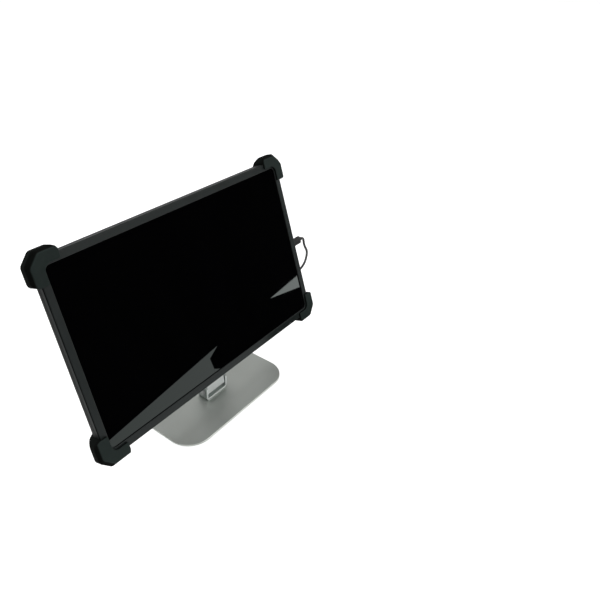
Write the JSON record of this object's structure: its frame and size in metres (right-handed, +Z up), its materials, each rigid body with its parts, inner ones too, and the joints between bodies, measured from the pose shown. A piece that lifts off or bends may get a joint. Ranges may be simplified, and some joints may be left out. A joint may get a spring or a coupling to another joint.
{
  "type": "rugged portable monitor",
  "caption": "Portable flat screen in a rugged housing with moulded corner bumpers, leaning on a folding aluminium desk stand, with its coiled cable plugged into the side.",
  "frame": {"origin": "on the desk, under the middle of the base plate", "axes": "+X to the viewer's right along the screen, +Y to the back, +Z up"},
  "size_m": [0.4393, 0.1781, 0.2696],
  "materials": {
    "bezel_rubber": "matte dark slate elastomer",
    "bumper_rubber": "matte black moulded elastomer",
    "cover_plastic": "fine matte black",
    "screen_glass": "glossy black",
    "lcd": "dark panel",
    "gasket_foam": "black foam",
    "chassis_metal": "plain sheet",
    "board_laminate": "green solder mask",
    "chip_resin": "black resin",
    "flex_film": "amber film",
    "socket_steel": "plated steel",
    "screw_black": "black oxide",
    "screw_steel": "plain steel",
    "insert_brass": "knurled brass",
    "key_plastic": "matte black",
    "stand_aluminium": "bead blasted, clear anodised",
    "pad_rubber": "thin black rubber",
    "washer_nylon": "black nylon",
    "cable_jacket": "satin black jacket",
    "plug_moulding": "satin black moulding",
    "tie_fabric": "hook and loop strap"
  },
  "bodies": {
    "base": {"base_plate": "stand_aluminium", "base_pad": "pad_rubber", "hinge_bracket": "stand_aluminium", "bracket_screws": "screw_steel", "hinge_pin": "screw_steel", "pin_nut": "screw_steel", "hinge_washers": "washer_nylon", "cable_lead": "cable_jacket", "cable_coil": "cable_jacket", "cable_tail": "cable_jacket", "cable_tie": "tie_fabric", "far_plug_boot": "plug_moulding", "far_plug_shell": "socket_steel"},
    "display": {"front_bezel": "bezel_rubber", "screen_gasket": "gasket_foam", "cover_glass": "screen_glass", "lcd_panel": "lcd", "chassis_plate": "chassis_metal", "perimeter_seal": "gasket_foam", "rear_cover": "cover_plastic", "cover_screws": "screw_black", "stand_inserts": "insert_brass", "main_board": "board_laminate", "board_chips": "chip_resin", "board_screws": "screw_steel", "panel_flex": "flex_film", "usb_sockets": "socket_steel", "hdmi_socket": "socket_steel", "key_switches": "chip_resin", "bumper_top_right": "bumper_rubber", "bumper_top_left": "bumper_rubber", "bumper_bottom_right": "bumper_rubber", "bumper_bottom_left": "bumper_rubber", "head_plate": "stand_aluminium", "head_screws": "screw_steel", "stand_arm": "stand_aluminium", "arm_screws": "screw_steel", "plug_boot": "plug_moulding", "plug_shell": "socket_steel"},
    "power_key": {"power_key": "key_plastic"},
    "menu_up_key": {"menu_up_key": "key_plastic"},
    "menu_down_key": {"menu_down_key": "key_plastic"}
  },
  "joints": [
    {"name": "tilt", "type": "hinge", "parent": "base", "child": "display", "pos_m": [0, -0.0285, 0.0145], "axis": [-1, 0, 0], "range_deg": [-18, 71], "deforming": ["cable_lead"]},
    {"name": "power_press", "type": "slide", "parent": "display", "child": "power_key", "axis": [-1, 0, 0], "range_m": [0, 0.0006], "stiffness_N_per_m": 900},
    {"name": "menu_up_press", "type": "slide", "parent": "display", "child": "menu_up_key", "axis": [-1, 0, 0], "range_m": [0, 0.0006], "stiffness_N_per_m": 900},
    {"name": "menu_down_press", "type": "slide", "parent": "display", "child": "menu_down_key", "axis": [-1, 0, 0], "range_m": [0, 0.0006], "stiffness_N_per_m": 900}
  ]
}
